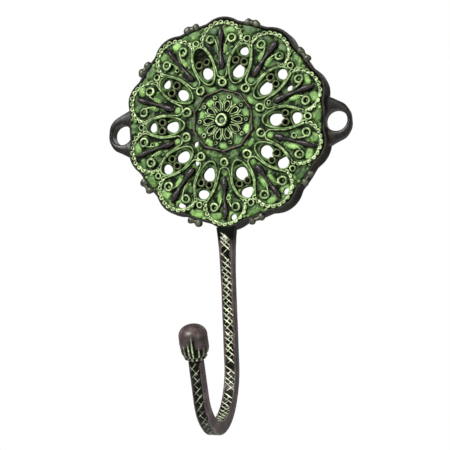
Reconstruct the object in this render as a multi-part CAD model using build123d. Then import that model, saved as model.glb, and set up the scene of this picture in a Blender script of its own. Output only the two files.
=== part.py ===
from build123d import *
import math
import os

# Wall hook with a pierced ten-lobed medallion.
# Frame: +Z up, the wall is the plane Y = 0, the front looks towards -Y.
# The origin is midway between the two screw holes, on the wall plane. Millimetres.
#
# The medallion is drawn flat: x to the right, y up, height z above the front of the face plate.
# to_wall() then stands it up on the wall.

# Driving dimensions
sectors = 10
plate_depth = 7.5
face_thickness = 2.0
skirt_wall = 2.2
lobe_centre_r = 31.0
lobe_front_r = 9.1
lobe_back_r = 10.4
base_front_r = 38.3
base_back_r = 39.3
medallion_rise = 1.6

ear_offset = 42.4
ear_hole_r = 4.05
ear_half_width = 5.6
ear_half_height = 7.2
ear_thickness = 6.0
ear_web_reach = 11.0
ear_web_root = 36.4
ear_web_tuck = 0.4
ear_web_trim = 0.05

# Openings as (distance from the centre, half width, half length)
large_hole = (20.4, 2.1, 2.5)
outer_hole = (28.2, 1.85, 1.5)
blind_teardrop = 9
# Small casting holes as (distance from the centre, degrees clockwise from the top, radius)
pinholes = [
    (13.4, 236.0, 0.85),
    (18.2, 217.0, 0.8),
    (35.7, 209.0, 1.0),
    (36.0, 175.0, 0.85),
    (36.2, 139.0, 0.95),
    (27.7, 67.0, 0.8),
]

wire_height = 1.1
wire_width = 0.9
fine_wire_width = 0.7
# Circles inside the teardrop's outline as (distance from the centre, radius)
teardrop_circles = ((17.2, 1.7), (23.0, 3.95), (27.2, 2.8))
# Half of the lobe wire, from the bead row in to the root
lobe_wire_tip = (6.7, 28.75)
lobe_wire_waist = (2.95, 23.4)
lobe_wire_root = (1.7, 18.6)
lobe_wire_end = (0, 17.5)

spindle_height = 1.6
# Clubs as (distance from the centre, half width, half length)
inner_club = (22.8, 1.25, 2.4)
outer_club = (33.6, 1.15, 2.9)
spindle_bar_width = 1.0

bead_count = 13
bead_spread = 190.0
bead_orbit_r = 7.3
bead_r = 0.85
bead_pit_r = 0.35
bead_height = 1.2
bead_strip_half_width = 0.35

ring_height = 1.2
ring_floor = 0.2
# Rings and cups as (across, distance from the centre, radius, pit radius)
lobe_ring = (4.24, 31.9, 1.85, 0.95)
teardrop_cup = (1.65, 24.0, 1.55, 0.95)
root_ring = (0, 15.1, 1.85, 0.95)
notch_ring = (0, 32.3, 1.5, 0.75)
pellet = (0, 9.0, 0.9, 0.4)

grain_place = (2.3, 39.3)
# Teardrops whose notch is taken by an ear
ear_notches = (2, 7)
grain_r = 1.4
grain_low = -1.6
grain_height = 2.6

boss_r = 2.35
boss_height = 3.0
boss_pit_r = 1.05
boss_pit_depth = 1.4
centre_grain_r = 0.45
centre_grain_height = 0.8
# Petals as (distance from the centre, half width, half length)
petal = (5.5, 0.9, 1.8)
petal_rim = 0.4
frame_corner_r = 12.3
frame_wire_width = 0.95

rod_side = 4.95
rod_corner_r = 1.3
shank_top = (1.0, -41.0)
shank_tilt = math.radians(3.9)
bend_start_z = -90.4
bend_r = 19.6
arm_tilt = math.radians(19.6)
arm_length = 13.4
collar_length = 2.0
collar_base_r = 2.6
collar_top_r = 4.1
knob_r = 5.0
knob_height = 10.6
knob_waist = 2.6
knob_shoulder = 6.6
tenon_r = 1.25
tenon_low = -41.8
tenon_length = 6.2
tenon_back = 3.6
root_top_z = -39.4
root_bottom_z = -49.0
root_side = 6.9
root_back = 1.5

# Blank that is sure to be wider than the medallion, and how far a drill overshoots
blank_side = 120.0
overshoot = 1.0


def on_sector(shape, angle_deg):
    """Turns a shape drawn straight up from the centre clockwise to its place."""
    return Rot(0, 0, -angle_deg) * shape


def to_wall(shape):
    """Stands the flat drawing up on the wall plane."""
    return Pos(0, -plate_depth, medallion_rise) * Rot(90, 0, 0) * shape


def lobe_angle(index):
    return 360.0 / sectors * index


def teardrop_angle(index):
    return 360.0 / sectors * (index + 0.5)


def raised(sketch, height):
    return extrude(sketch, height, dir=(0, 0, 1))


def ring(outer_r, pit_r, height, floor):
    """Small cup: a round stud with a pit that stops at the floor height."""
    return raised(Circle(outer_r), height) - Pos(0, 0, floor) * raised(Circle(pit_r), height)


def around(pieces):
    """Group of separate solids."""
    return Compound(children=[piece.solid() for piece in pieces])


def rings_around(drawing, sides, angle_of):
    """The same ring in every sector, on each of the given sides of its axis."""
    across, along, outer_r, pit_r = drawing
    pieces = []
    for index in range(sectors):
        for side in sides:
            place = Pos(side * across, along, 0) * ring(outer_r, pit_r, ring_height, ring_floor)
            pieces.append(on_sector(place, angle_of(index)))
    return around(pieces)


def medallion_block(inset, front_z):
    """Lobed block of the medallion, from front_z back to the wall plane, inset from the outline."""
    depth = plate_depth + front_z
    share = -front_z / plate_depth
    lobe_r = lobe_front_r + (lobe_back_r - lobe_front_r) * share - inset
    base_r = base_front_r + (base_back_r - base_front_r) * share - inset
    centre_z = (front_z - plate_depth) / 2
    block = Pos(0, 0, centre_z) * Cone(base_back_r - inset, base_r, depth)
    for index in range(sectors):
        lobe = Pos(0, lobe_centre_r, centre_z) * Cone(lobe_back_r - inset, lobe_r, depth)
        block = block + on_sector(lobe, lobe_angle(index))
    return block


def hole_cutter(hole, angle_deg):
    radius, half_width, half_length = hole
    drill = Pos(0, radius, -plate_depth) * raised(Ellipse(half_width, half_length), 2 * plate_depth)
    return on_sector(drill, angle_deg)


def face_plate(block):
    """Pierced front of the medallion: a large and an outer hole in each teardrop."""
    plate = block & (Pos(0, 0, -face_thickness / 2) * Box(blank_side, blank_side, face_thickness))
    for index in range(sectors):
        plate = plate - hole_cutter(large_hole, teardrop_angle(index))
        if index != blind_teardrop:
            plate = plate - hole_cutter(outer_hole, teardrop_angle(index))
    for radius, angle_deg, hole_r in pinholes:
        plate = plate - hole_cutter((radius, hole_r, hole_r), angle_deg)
    return plate


def ear_drill(side):
    """Clears the screw hole over the whole depth."""
    low = -plate_depth - overshoot
    return Pos(side * ear_offset, -medallion_rise, low) * raised(Circle(ear_hole_r), plate_depth + 2 * overshoot)


def rim_skirt(block):
    """Flared wall behind the face plate, hollow inside."""
    height = plate_depth - face_thickness
    behind = Pos(0, 0, -face_thickness - height / 2) * Box(blank_side, blank_side, height)
    return (block & behind) - medallion_block(skirt_wall, -face_thickness)


def ear(block, side):
    """Screw ear at the wall plane, faired into the skirt above and below."""
    low = -plate_depth
    drop = -medallion_rise
    tuck = side * (ear_offset + ear_web_tuck)
    corner = ear_half_height - ear_web_trim
    root = side * ear_web_root
    outline = Pos(side * ear_offset, drop) * Ellipse(ear_half_width, ear_half_height)
    web = make_face(
        Polyline(
            (tuck, drop + corner),
            (root, drop + ear_web_reach),
            (root, drop - ear_web_reach),
            (tuck, drop - corner),
            close=True,
        )
    )
    body = Pos(0, 0, low) * raised(outline + web, ear_thickness)
    return body - block - ear_drill(side)


def teardrop_hull(inset):
    """Almond outline about circles on the teardrop's own axis."""
    edges = [(Pos(0, at) * Circle(size - inset)).edges() for at, size in teardrop_circles]
    return make_hull([edge for group in edges for edge in group])


def teardrop_wire():
    return raised(teardrop_hull(0) - teardrop_hull(wire_width), wire_height)


def mirrored(point):
    return (-point[0], point[1])


def lobe_wire():
    """Spoon-shaped wire from both ends of the bead row in to the root ring."""
    left = ThreePointArc(mirrored(lobe_wire_tip), mirrored(lobe_wire_waist), mirrored(lobe_wire_root))
    bottom = ThreePointArc(mirrored(lobe_wire_root), lobe_wire_end, lobe_wire_root)
    right = ThreePointArc(lobe_wire_root, lobe_wire_waist, lobe_wire_tip)
    return raised(trace(left + bottom + right, fine_wire_width), wire_height)


def oval(drawing, inset=0):
    """Long oval on the axis, drawn as (distance from the centre, half width, half length)."""
    along, half_width, half_length = drawing
    return Pos(0, along) * Ellipse(half_width - inset, half_length - inset)


def spindle():
    """Dark bar on the lobe's axis with a club at each end."""
    length = outer_club[0] - inner_club[0]
    bar = Pos(0, inner_club[0] + length / 2) * Rectangle(spindle_bar_width, length)
    return raised(oval(inner_club) + bar + oval(outer_club), spindle_height)


def bead_row():
    """Pierced beads on a thin strip around the lobe's tip."""
    annulus = Circle(bead_orbit_r + bead_strip_half_width) - Circle(bead_orbit_r - bead_strip_half_width)
    below = Pos(0, -bead_orbit_r - 2 * bead_strip_half_width) * Rectangle(4 * bead_orbit_r, 2 * bead_orbit_r)
    row = raised(annulus - below, bead_height / 2)
    for index in range(bead_count):
        angle = math.radians(-bead_spread / 2 + bead_spread / (bead_count - 1) * index)
        place = Pos(bead_orbit_r * math.sin(angle), bead_orbit_r * math.cos(angle), 0)
        row = row + place * ring(bead_r, bead_pit_r, bead_height, bead_height / 2)
    return Pos(0, lobe_centre_r, 0) * row


def rim_grains(block):
    """Pair of grains over the rim in each notch between two lobes."""
    pieces = []
    for index in [number for number in range(sectors) if number not in ear_notches]:
        for side in (-1, 1):
            grain = Pos(side * grain_place[0], grain_place[1], grain_low) * raised(Circle(grain_r), grain_height)
            pieces.append(on_sector(grain, teardrop_angle(index)) - block)
    return around(pieces)


def rosette_petals():
    """Hollow petals about the boss, one towards each teardrop."""
    hollow = Pos(0, 0, ring_floor) * raised(oval(petal, petal_rim), wire_height)
    shell = raised(oval(petal), wire_height) - hollow
    return around([on_sector(shell, teardrop_angle(index)) for index in range(sectors)])


def frame_wire():
    """Ten-sided wire about the rosette, corners on the lobe axes."""
    outer = Rot(0, 0, 90) * RegularPolygon(frame_corner_r, sectors)
    inner = Rot(0, 0, 90) * RegularPolygon(frame_corner_r - frame_wire_width, sectors)
    return raised(outer - inner, wire_height)


def centre_boss():
    return ring(boss_r, boss_pit_r, boss_height, boss_height - boss_pit_depth)


def centre_grain():
    return Pos(0, 0, boss_height - boss_pit_depth) * raised(Circle(centre_grain_r), centre_grain_height)


# The hook lies in the plane x = 0. Its points are (back, up): back from the front of the face
# plate towards the wall, up from the medallion's centre.

def place_hook(back, up, tilt):
    """Location at a point of the hook, with +Z along the rod, tilted towards the front."""
    return Pos(0, back - plate_depth, up + medallion_rise) * Rot(math.degrees(tilt), 0, 0)


def hook_points():
    """Start and end of the bend, its centre, and the top of the arm."""
    shank_run = bend_start_z - shank_top[1]
    start = (shank_top[0] - shank_run * math.tan(shank_tilt), bend_start_z)
    centre = (start[0] - bend_r * math.cos(shank_tilt), start[1] - bend_r * math.sin(shank_tilt))
    end = (centre[0] - bend_r * math.cos(arm_tilt), centre[1] - bend_r * math.sin(arm_tilt))
    top = (end[0] - arm_length * math.sin(arm_tilt), end[1] + arm_length * math.cos(arm_tilt))
    return start, centre, end, top


def rod_section():
    return RectangleRounded(rod_side, rod_side, rod_corner_r)


def tenon():
    """Round pin on the hook's root, through the skirt's lowest point into the hollow."""
    pin = Rot(-90, 0, 0) * extrude(Circle(tenon_r), tenon_length)
    return to_wall(Pos(0, tenon_low, -tenon_back) * pin)


def hook_root():
    """Flare from the rod's section up to a wide foot against the skirt."""
    foot = Pos(0, root_back - plate_depth, root_top_z + medallion_rise) * RectangleRounded(
        root_side, root_side, rod_corner_r
    )
    neck_back = shank_top[0] + (shank_top[1] - root_bottom_z) * math.tan(shank_tilt)
    neck = place_hook(neck_back, root_bottom_z, shank_tilt) * rod_section()
    return loft([neck, foot])


def hook_arm(block):
    """One bent rod: flared root with its tenon, shank, bend and rising arm."""
    start, centre, end, top = hook_points()
    shank_length = (shank_top[1] - start[1]) / math.cos(shank_tilt)
    shank = place_hook(*start, shank_tilt) * extrude(rod_section(), shank_length)
    arm = place_hook(*end, arm_tilt) * extrude(rod_section(), arm_length)
    sweep_deg = 180.0 - math.degrees(arm_tilt) + math.degrees(shank_tilt)
    bend_axis = Axis((0, centre[0] - plate_depth, centre[1] + medallion_rise), (1, 0, 0))
    bend = revolve(place_hook(*start, shank_tilt) * rod_section(), bend_axis, -sweep_deg)
    return (shank + bend + arm + hook_root()) - block + tenon()


def knob_collar():
    """Calyx under the knob."""
    top = hook_points()[3]
    cone = Pos(0, 0, collar_length / 2) * Cone(collar_base_r, collar_top_r, collar_length)
    return place_hook(*top, arm_tilt) * cone


def knob():
    """Barrel, narrowed below, with a spherical dome."""
    top = hook_points()[3]
    rise = knob_height - knob_shoulder
    dome_r = (knob_r**2 + rise**2) / (2 * rise)
    half_turn = math.asin(knob_r / dome_r) / 2
    dome_middle = (dome_r * math.sin(half_turn), 0, knob_height - dome_r * (1 - math.cos(half_turn)))
    corners = ((0, knob_height), (0, 0), (collar_top_r, 0), (knob_r, knob_waist), (knob_r, knob_shoulder))
    side = Polyline([(across, 0, along) for across, along in corners])
    dome = ThreePointArc((knob_r, 0, knob_shoulder), dome_middle, (0, 0, knob_height))
    barrel = revolve(make_face([*side.edges(), dome]), Axis.Z)
    return place_hook(*top, arm_tilt) * Pos(0, 0, collar_length) * barrel


def medallion_parts():
    """Every piece of the medallion, drawn flat, by node name."""
    block = medallion_block(0, 0)
    drills = ear_drill(-1) + ear_drill(1)
    parts = {
        "face_plate": face_plate(block) - drills,
        "rim_skirt": rim_skirt(block) - drills,
        "ear_left": ear(block, -1),
        "ear_right": ear(block, 1),
        "lobe_rings": rings_around(lobe_ring, (-1, 1), lobe_angle),
        "teardrop_cups": rings_around(teardrop_cup, (-1, 1), teardrop_angle),
        "root_rings": rings_around(root_ring, (1,), lobe_angle),
        "notch_rings": rings_around(notch_ring, (1,), teardrop_angle),
        "rim_grains": rim_grains(block),
        "frame_wire": frame_wire(),
        "rosette_petals": rosette_petals(),
        "rosette_pellets": rings_around(pellet, (1,), teardrop_angle),
        "centre_boss": centre_boss(),
        "centre_grain": centre_grain(),
    }
    shapes = {"lobe_wire": lobe_wire(), "spindle": spindle(), "bead_row": bead_row()}
    for index in range(sectors):
        for name, shape in shapes.items():
            parts[f"{name}_{index + 1:02d}"] = on_sector(shape, lobe_angle(index))
        parts[f"teardrop_wire_{index + 1:02d}"] = on_sector(teardrop_wire(), teardrop_angle(index))
    return block, parts


def main():
    block, flat_parts = medallion_parts()
    parts = {name: to_wall(shape) for name, shape in flat_parts.items()}
    parts["rim_skirt"] = parts["rim_skirt"] - tenon()
    parts["hook_arm"] = hook_arm(to_wall(block))
    parts["knob_collar"] = knob_collar()
    parts["knob"] = knob()
    os.makedirs("parts", exist_ok=True)
    for name, shape in parts.items():
        export_step(shape, f"parts/{name}.step")
        print(name, round(shape.volume, 2))


main()
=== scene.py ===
import math
import random

import bmesh
import bpy
import numpy as np
from mathutils import Matrix, Vector
from mathutils.geometry import convex_hull_2d
from mathutils.kdtree import KDTree

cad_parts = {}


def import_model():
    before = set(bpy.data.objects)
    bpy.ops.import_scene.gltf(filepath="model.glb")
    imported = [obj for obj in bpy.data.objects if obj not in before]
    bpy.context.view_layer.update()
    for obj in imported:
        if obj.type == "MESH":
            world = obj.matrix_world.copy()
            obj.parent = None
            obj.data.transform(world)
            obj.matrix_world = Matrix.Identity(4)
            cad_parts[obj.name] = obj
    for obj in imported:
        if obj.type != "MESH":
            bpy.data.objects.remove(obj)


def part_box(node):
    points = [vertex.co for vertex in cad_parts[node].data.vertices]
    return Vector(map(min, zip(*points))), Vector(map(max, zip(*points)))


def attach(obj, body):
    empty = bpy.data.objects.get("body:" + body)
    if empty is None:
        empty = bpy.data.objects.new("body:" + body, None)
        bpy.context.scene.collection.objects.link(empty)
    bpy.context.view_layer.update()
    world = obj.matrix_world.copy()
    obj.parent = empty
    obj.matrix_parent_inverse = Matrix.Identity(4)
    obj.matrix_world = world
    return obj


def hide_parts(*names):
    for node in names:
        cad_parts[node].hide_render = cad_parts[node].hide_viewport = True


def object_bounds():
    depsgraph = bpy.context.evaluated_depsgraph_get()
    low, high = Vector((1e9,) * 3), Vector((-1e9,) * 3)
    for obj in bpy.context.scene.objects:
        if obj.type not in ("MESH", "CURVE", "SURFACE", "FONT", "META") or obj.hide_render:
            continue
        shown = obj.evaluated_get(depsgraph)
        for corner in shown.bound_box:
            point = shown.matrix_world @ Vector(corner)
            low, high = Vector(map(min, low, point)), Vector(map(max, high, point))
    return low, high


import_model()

# A wall hook: pierced ten-lobed medallion in green patina, two screw ears, one engraved rod and a knob.
#
# The medallion is drawn flat in millimetres, as in its CAD: x right, y up, z out of the face plate.
# world() stands the drawing on the wall. The hook's own shape is drawn as (back, up) in the same units.

CAD_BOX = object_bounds()
MM = 0.001
BOSS_LOW, BOSS_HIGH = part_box("centre_boss")
FRONT_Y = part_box("face_plate")[0].y
CENTRE_Z = (BOSS_LOW.z + BOSS_HIGH.z) / 2
DEPTH = -FRONT_Y / MM

# The ten-lobed outline, at the front and at the wall
SECTORS = 10
STEP_DEG = 360.0 / SECTORS
LOBE_CENTRE_R = 31.0
LOBE_FRONT_R = 9.1
LOBE_BACK_R = 10.4
BASE_FRONT_R = 38.3
BASE_BACK_R = 39.3
PLATE_THICK = 2.0
PLATE_INSET = 0.8
GRID_STEP, GRID_REACH = 0.35, 40.6
LIP = 0.35
RIM_SHIFT = (0.35, 0.3)

# Screw ears
EAR_X = 42.4
EAR_Y = -CENTRE_Z / MM
EAR_FRONT = -1.5
EAR_NOTCHES = (2, 7)
EAR_WIDE, EAR_LONG = 5.6, 7.2
EAR_ROOT_X, EAR_ROOT_REACH = 36.2, 11.0
HOLE_R = 4.05
HOLE_CLEAR = 0.4

# Openings: distance from the centre, half-width, half-length; a casting hole has its angle after the distance
BLIND_TEARDROP = 9
LARGE_HOLE = (20.4, 2.1, 2.5)
OUTER_HOLE = (28.2, 1.85, 1.5)
CASTING_HOLES = (
    (13.4, 236.0, 1.15, 1.1),
    (18.2, 217.0, 1.2, 1.1),
    (35.7, 209.0, 2.1, 1.05),
    (36.0, 175.0, 1.35, 1.3),
    (36.2, 139.0, 1.35, 1.25),
    (27.7, 67.0, 1.15, 1.2),
)

# Relief
ROSETTE_SHIFT = np.array([-0.25, 0.75])
FRAME_R = 11.9
SPINDLE_IN, SPINDLE_OUT = 20.4, 36.8
BEAD_COUNT = 13
BEAD_SPREAD = 190.0
BEAD_ARC_Y, BEAD_ARC_WIDE, BEAD_ARC_LONG = LOBE_CENTRE_R + 0.1, 7.6, 7.05
TEARDROP_RUB = 0.45
LOBE_RUB = 0.72

# The rod's path as (back, up), then its tenon, its section and what stands on its top
SHANK_TOP = (1.0, -41.0)
SHANK_TILT = math.radians(3.9)
BEND_START_UP = -90.4
BEND_R = 19.6
ARM_TILT = math.radians(19.6)
ARM_LENGTH = 13.4
ROOT_TOP = -39.5
TENON_R = 1.25
TENON_BACK = 3.6
TENON_FROM, TENON_TO = -41.4, -35.7
TENON_DOME_FROM, TENON_DOME = -36.2, 0.55
ROD_FLAT = 0.66
RUN_TO_BEND = 51.0
COLLAR_LENGTH = 2.0
KNOB_HEIGHT = 10.6
KNOB_BARREL, KNOB_DOME, KNOB_R = 6.6, 3.8, 4.80


# ---------------------------------------------------------------- small maths

def smooth(low, high, value):
    """S-curve that rises from 0 at low to 1 at high."""
    t = np.clip((np.asarray(value, float) - low) / (high - low), 0.0, 1.0)
    return t * t * (3.0 - 2.0 * t)


def ripple(points, wavelength, seed):
    """Smooth random field in about -1..1: sine waves in seeded directions."""
    local = random.Random(seed)
    points = np.asarray(points, float)
    total = np.zeros(len(points))
    for _ in range(7):
        direction = np.array([local.gauss(0, 1) for _ in range(points.shape[1])])
        direction /= np.linalg.norm(direction)
        scale = wavelength * local.uniform(0.6, 1.6)
        total += np.sin(points @ direction * (2 * math.pi / scale) + local.uniform(0, 2 * math.pi))
    return total / 3.0


def warp(points):
    """Slight hand-made distortion of the drawing, the same for every piece."""
    points = np.asarray(points, float).reshape(-1, 2)
    moved = points.copy()
    moved[:, 0] += 0.22 * ripple(points, 26.0, 1)
    moved[:, 1] += 0.22 * ripple(points, 26.0, 2)
    return moved


def sector(points, angle_deg):
    """Turns points drawn straight up from the centre clockwise to their place."""
    a = math.radians(angle_deg)
    p = np.asarray(points, float).reshape(-1, 2)
    x, y = p[:, 0], p[:, 1]
    return np.stack([x * math.cos(a) + y * math.sin(a), y * math.cos(a) - x * math.sin(a)], 1)


def lobe_angle(index):
    """Degrees clockwise from the top."""
    return STEP_DEG * index


def teardrop_angle(index):
    return STEP_DEG * (index + 0.5)


def resample(points, gap, closed=False):
    """Evenly spaced points along a polyline."""
    p = np.asarray(points, float)
    if closed:
        p = np.vstack([p, p[:1]])
    run = np.concatenate([[0], np.cumsum(np.linalg.norm(np.diff(p, axis=0), axis=1))])
    count = max(4, int(round(run[-1] / gap)))
    at = np.linspace(0, run[-1], count + 1)
    if closed:
        at = at[:-1]
    return np.stack([np.interp(at, run, p[:, k]) for k in range(p.shape[1])], 1)


def curve_through(points, gap=0.3, closed=False):
    """Catmull-Rom curve through a few points, evenly resampled."""
    p = np.asarray(points, float)
    if closed:
        ext = np.vstack([p[-1:], p, p[:2]])
    else:
        ext = np.vstack([2 * p[0] - p[1], p, 2 * p[-1] - p[-2]])
    t = np.linspace(0, 1, 16, endpoint=False)[:, None]
    fine = []
    for a, b, c, d in zip(ext, ext[1:], ext[2:], ext[3:]):
        square = 2 * a - 5 * b + 4 * c - d
        cube = 3 * b - a - 3 * c + d
        fine.append(0.5 * (2 * b + (c - a) * t + square * t**2 + cube * t**3))
    if not closed:
        fine.append(ext[-2:-1])
    return resample(np.vstack(fine), gap, closed)


# ---------------------------------------------------------------- mesh building

class Geo:
    """Vertices in drawing millimetres, faces, and per-vertex crest, cavity and tone amounts. Cavity is
    painted shade in hollows and at feet, and dark ground on the rod's engraved band.
    """

    def __init__(self):
        self.co, self.faces, self.crest, self.cavity, self.tone = [], [], [], [], []

    def add(self, co, faces, crest, cavity, tone=0.5):
        """Adds vertices, and faces that number them from 0."""
        start = len(self.co)
        self.co.extend(map(tuple, co))
        self.faces.extend(tuple(start + i for i in f) for f in faces)
        self.crest.extend(crest)
        self.cavity.extend(cavity)
        self.tone.extend([tone] * len(co) if isinstance(tone, float) else tone)
        return self

    def grid(self, co, crest, cavity, closed=False):
        """Adds a skin over equal rings of points. Crest and cavity may be the same for every ring."""
        count, size = co.shape[:2]
        rings = [range(i * size, (i + 1) * size) for i in range(count)]
        crest, cavity = [np.broadcast_to(mark, (count, size)).ravel() for mark in (crest, cavity)]
        return self.add(co.reshape(-1, 3), skin(rings, closed), crest, cavity)


def skin(rings, closed=False):
    """Faces over rings of vertex numbers. A ring of one vertex is a pole, and an open end gets a cap."""
    faces = []
    for a, b in zip(rings, [*rings[1:], rings[0]] if closed else rings[1:]):
        count = max(len(a), len(b))
        for s in range(count):
            t = (s + 1) % count
            if len(b) == 1:
                faces.append((a[s], a[t], b[0]))
            elif len(a) == 1:
                faces.append((a[0], b[t], b[s]))
            else:
                faces.append((a[s], a[t], b[t], b[s]))
    if not closed:
        faces += [tuple(end) for end in (rings[0], rings[-1]) if len(end) > 1]
    return faces


def mirrored(left):
    """Whole section from its left half, foot first and top last: (across, up, crest, cavity)."""
    return (*left, *[(-across, up, c, d) for across, up, c, d in reversed(left[:-1])])


# Wire section: the cavity column paints shade along the wire's foot.
WIRE = mirrored((
    (-1.25, -0.12, 0.0, 1.0), (-1.06, 0.04, 0.0, 0.9), (-0.90, 0.30, 0.05, 0.6), (-0.72, 0.62, 0.35, 0.15),
    (-0.42, 0.90, 0.9, 0.0), (0.0, 1.0, 1.0, 0.0),
))


def tube(geo, path, half_width, height, closed=False, base=0.0, section=WIRE, wobble=0.11, seed=0):
    """Raised wire along a flat path. Widths and heights may vary along it."""
    p = np.asarray(path, float)
    n = len(p)
    w = np.broadcast_to(np.asarray(half_width, float), n) * (1 + wobble * 1.6 * ripple(p, 4.0, seed + 3))
    h = np.broadcast_to(np.asarray(height, float), n) * (1 + wobble * 1.6 * ripple(p, 5.0, seed + 4))
    if closed:
        tangent = np.roll(p, -1, 0) - np.roll(p, 1, 0)
    else:
        tangent = np.gradient(p, axis=0)
    tangent /= np.linalg.norm(tangent, axis=1)[:, None] + 1e-12
    normal = np.stack([tangent[:, 1], -tangent[:, 0]], 1)
    across, up, crest, cavity = np.array(section).T
    flat = p[:, None] + normal[:, None] * np.outer(w, across)[..., None]
    z = base + np.where(up > 0, np.outer(h, up), up)
    return geo.grid(np.dstack([flat, z]), crest, cavity, closed)


def lathe(geo, centre, profile, segments=24, base=0.0, scale=1.0, lean=0.0, lean_deg=0.0, wobble=0.03, seed=0,
          shade=0.0):
    """Round stud about a point of the drawing, from (radius, height, crest, cavity), outside foot first.

    It leans up towards lean_deg, and shade takes the pale crest away on the far side.
    """
    cx, cy = centre
    local = random.Random(seed)
    phase = [local.uniform(0, 2 * math.pi) for _ in range(3)]
    tone = local.uniform(0.3, 0.7)
    co, crest, cavity, rings = [], [], [], []
    ax, ay = math.cos(math.radians(lean_deg)), math.sin(math.radians(lean_deg))
    for r, z, c, d in profile:
        steps = segments if r > 0 else 1
        rings.append(range(len(co), len(co) + steps))
        for s in range(steps):
            a = 2 * math.pi * s / segments
            uneven = math.sin(2 * a + phase[0]) + 0.7 * math.sin(3 * a + phase[1])
            rr = r * scale * (1 + wobble * uneven)
            x, y = rr * math.cos(a), rr * math.sin(a)
            tilt = lean * (x * ax + y * ay) if z > 0 else 0.0
            side = 0.5 + 0.5 * (math.cos(a) * ax + math.sin(a) * ay)
            co.append((cx + x, cy + y, base + z + tilt))
            crest.append(c * (1 - shade * (1 - side)) if steps > 1 else c)
            cavity.append(d)
    return geo.add(co, skin(rings), crest, cavity, tone)


def world(co):
    """Drawing millimetres to the part's frame in metres."""
    p = np.asarray(co, float)
    return np.stack([p[:, 0] * MM, -p[:, 2] * MM + FRONT_Y, p[:, 1] * MM + CENTRE_Z], 1)


def make_piece(name, geo, material, nodes, sharp_deg=55.0):
    """Turns a Geo into a Blender object that rides on the body and stands for its CAD nodes."""
    mesh = bpy.data.meshes.new(name)
    mesh.from_pydata(world(geo.co).tolist(), [], geo.faces)
    for key, values in (("crest", geo.crest), ("cavity", geo.cavity), ("tone", geo.tone)):
        layer = mesh.attributes.new(key, "FLOAT", "POINT")
        layer.data.foreach_set("value", np.asarray(values, np.float32))
    bm = bmesh.new()
    bm.from_mesh(mesh)
    bmesh.ops.recalc_face_normals(bm, faces=bm.faces)
    bm.to_mesh(mesh)
    bm.free()
    mesh.shade_smooth()
    mesh.set_sharp_from_angle(angle=math.radians(sharp_deg))
    mesh.materials.append(material)
    piece = bpy.data.objects.new(name, mesh)
    bpy.context.scene.collection.objects.link(piece)
    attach(piece, "root")
    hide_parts(*nodes)


# ---------------------------------------------------------------- materials

def rgb(red, green, blue):
    """Screen colour, 0 to 255, to scene-linear."""
    out = []
    for v in (red, green, blue):
        v /= 255.0
        out.append(v / 12.92 if v <= 0.04045 else ((v + 0.055) / 1.055) ** 2.4)
    return (*out, 1.0)


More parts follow.
